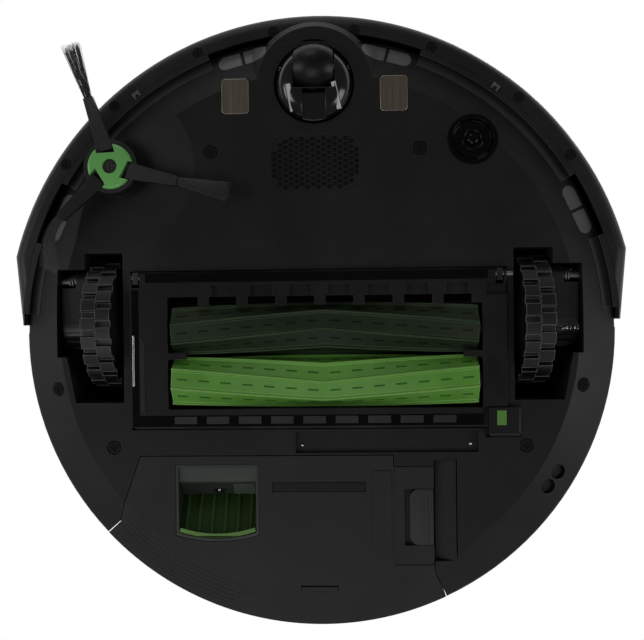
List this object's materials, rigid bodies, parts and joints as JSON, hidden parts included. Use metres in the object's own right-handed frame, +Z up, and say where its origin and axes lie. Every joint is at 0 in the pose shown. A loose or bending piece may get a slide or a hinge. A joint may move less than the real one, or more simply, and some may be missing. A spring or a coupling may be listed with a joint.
{
  "type": "robot vacuum",
  "caption": "Low round robot vacuum: lugged drive wheels, caster, side brush, rubber rollers in a hinged frame, slide-out dust bin and sprung bumper.",
  "frame": {"origin": "middle of the footprint on the floor", "axes": "+Z up, the bumper at the front faces -Y, the robot's left side is +X"},
  "size_m": [0.339, 0.338, 0.087],
  "materials": {
    "cover_black": "fine spark-eroded grain",
    "chassis_black": "plain moulded",
    "bumper_black": "fine grain",
    "top_black": "fine grain",
    "deck_dark": "radial brushed look",
    "light_white": "frosted",
    "button_grey": "satin",
    "window_dark": "infrared tinted",
    "screw_black": "black zinc",
    "cliff_grey": "tinted lens",
    "contact_nickel": "nickel plate",
    "lens_black": "polished",
    "tyre_black": "matt rubber",
    "rim_black": "satin",
    "arm_black": "satin",
    "pin_steel": "ground",
    "caster_gloss": "polished",
    "caster_black": "worn satin",
    "brush_rubber": "matt",
    "bristle_black": "nylon",
    "marker_green": "satin",
    "core_grey": "plain moulded",
    "roller_dark": "matt",
    "roller_green": "matt",
    "frame_black": "plain moulded",
    "bin_black": "fine grain",
    "port_dark": "smoky",
    "door_green": "translucent tint",
    "tab_black": "fine grain",
    "filter_white": "pleated paper",
    "battery_wrap": "shrink sleeve over metal cells",
    "board_green": "solder mask",
    "motor_steel": "plain can",
    "fan_white": "plain moulded"
  },
  "bodies": {
    "chassis": {"chassis": "chassis_black", "bottom_cover": "cover_black", "finger_recess": "chassis_black", "bottom_screws": "screw_black", "cliff_windows": "cliff_grey", "charging_contacts": "contact_nickel", "floor_lens": "lens_black", "top_cover": "top_black", "deck_disc": "deck_dark", "light_ring": "light_white", "brush_gearbox": "chassis_black", "head_housing": "chassis_black", "head_gearbox": "chassis_black", "bearing_block": "chassis_black", "suction_duct": "chassis_black", "head_motor": "motor_steel", "battery_pack": "battery_wrap", "main_board": "board_green", "fan_housing": "chassis_black", "left_pivot_pin": "pin_steel", "right_pivot_pin": "pin_steel", "left_wheel_spring": "pin_steel", "right_wheel_spring": "pin_steel"},
    "bumper": {"bumper_shell": "bumper_black", "bumper_window": "window_dark", "bumper_screws": "screw_black"},
    "left_arm": {"left_wheel_arm": "arm_black"},
    "right_arm": {"right_wheel_arm": "arm_black"},
    "left_wheel": {"left_wheel_rim": "rim_black", "left_tyre": "tyre_black", "left_axle": "pin_steel"},
    "right_wheel": {"right_wheel_rim": "rim_black", "right_tyre": "tyre_black", "right_axle": "pin_steel"},
    "caster_fork": {"caster_swivel": "caster_gloss", "caster_axle": "pin_steel"},
    "caster_roll": {"caster_wheel": "caster_black"},
    "side_brush": {"brush_hub": "marker_green", "brush_arms": "brush_rubber", "brush_bristles": "bristle_black", "brush_screw": "screw_black", "brush_shaft": "core_grey"},
    "front_roller": {"front_roller_core": "core_grey", "front_roller_sleeve": "roller_dark"},
    "back_roller": {"back_roller_core": "core_grey", "back_roller_sleeve": "roller_green"},
    "roller_guard": {"roller_frame": "frame_black", "frame_pins": "pin_steel"},
    "guard_latch": {"frame_latch": "frame_black", "latch_marker": "marker_green"},
    "dust_bin": {"bin_tub": "bin_black", "bin_lid": "bin_black", "bin_filter": "filter_white", "port_frame": "port_dark"},
    "evac_flap": {"evac_door": "door_green"},
    "bin_tab": {"release_tab": "tab_black"},
    "main_key": {"main_button": "button_grey"},
    "left_key": {"left_button": "button_grey"},
    "right_key": {"right_button": "button_grey"},
    "fan": {"fan_impeller": "fan_white"}
  },
  "joints": [
    {"name": "bumper_press", "type": "slide", "parent": "chassis", "child": "bumper", "axis": [0, 1, 0], "range_m": [0, 0.003], "stiffness_N_per_m": 500, "springref_m": -0.004},
    {"name": "left_suspension", "type": "hinge", "parent": "chassis", "child": "left_arm", "pos_m": [0.1318, -0.0235, 0.026], "axis": [1, 0, 0], "range_deg": [-40, 0], "stiffness_Nm_per_rad": 0.1, "springref_deg": -68.75},
    {"name": "left_wheel_spin", "type": "hinge", "parent": "left_arm", "child": "left_wheel", "pos_m": [0.118, 0.0005, 0.036], "axis": [1, 0, 0], "continuous": true},
    {"name": "right_suspension", "type": "hinge", "parent": "chassis", "child": "right_arm", "pos_m": [-0.1318, -0.0235, 0.026], "axis": [1, 0, 0], "range_deg": [-40, 0], "stiffness_Nm_per_rad": 0.1, "springref_deg": -68.75, "deforming": ["brush_bristles"]},
    {"name": "right_wheel_spin", "type": "hinge", "parent": "right_arm", "child": "right_wheel", "pos_m": [-0.118, 0.0005, 0.036], "axis": [1, 0, 0], "continuous": true},
    {"name": "caster_turn", "type": "hinge", "parent": "chassis", "child": "caster_fork", "pos_m": [0, -0.1284, 0.03], "axis": [0, 0, 1], "continuous": true},
    {"name": "caster_spin", "type": "hinge", "parent": "caster_fork", "child": "caster_roll", "pos_m": [0, -0.1368, 0.0125], "axis": [1, 0, 0], "continuous": true},
    {"name": "side_brush_spin", "type": "hinge", "parent": "chassis", "child": "side_brush", "pos_m": [-0.1108, -0.0847, 0.012], "axis": [0, 0, 1], "continuous": true},
    {"name": "back_roller_spin", "type": "hinge", "parent": "chassis", "child": "back_roller", "pos_m": [0.004, 0.0329, 0.018], "axis": [1, 0, 0], "continuous": true},
    {"name": "front_roller_spin", "type": "hinge", "parent": "chassis", "child": "front_roller", "pos_m": [0.004, 0.0042, 0.018], "axis": [1, 0, 0], "continuous": true},
    {"name": "guard_open", "type": "hinge", "parent": "chassis", "child": "roller_guard", "pos_m": [0, -0.024, 0.0108], "axis": [1, 0, 0], "range_deg": [-95, 0]},
    {"name": "guard_latch_slide", "type": "slide", "parent": "roller_guard", "child": "guard_latch", "axis": [-1, 0, 0], "range_m": [0, 0.0025], "stiffness_N_per_m": 300, "springref_m": -0.003},
    {"name": "bin_slide", "type": "slide", "parent": "chassis", "child": "dust_bin", "axis": [0, 1, 0], "range_m": [0, 0.11]},
    {"name": "evac_open", "type": "hinge", "parent": "dust_bin", "child": "evac_flap", "pos_m": [-0.0555, 0.0938, 0.0296], "axis": [1, 0, 0], "range_deg": [-20, 0], "stiffness_Nm_per_rad": 0.01, "springref_deg": 22.92},
    {"name": "bin_tab_press", "type": "slide", "parent": "dust_bin", "child": "bin_tab", "axis": [-1, 0, 0], "range_m": [0, 0.0025], "stiffness_N_per_m": 400, "springref_m": -0.002},
    {"name": "main_key_press", "type": "slide", "parent": "chassis", "child": "main_key", "axis": [0, 0, -1], "range_m": [0, 0.0008], "stiffness_N_per_m": 1500, "springref_m": -0.001},
    {"name": "left_key_press", "type": "slide", "parent": "chassis", "child": "left_key", "axis": [0, 0, -1], "range_m": [0, 0.0008], "stiffness_N_per_m": 1200, "springref_m": -0.001},
    {"name": "right_key_press", "type": "slide", "parent": "chassis", "child": "right_key", "axis": [0, 0, -1], "range_m": [0, 0.0008], "stiffness_N_per_m": 1200, "springref_m": -0.001},
    {"name": "fan_spin", "type": "hinge", "parent": "chassis", "child": "fan", "pos_m": [0.104, 0.102, 0.045], "axis": [0, 0, 1], "continuous": true}
  ],
  "couplings": [
    {"joint": "front_roller_spin", "follows": "back_roller_spin", "ratio": -1}
  ]
}
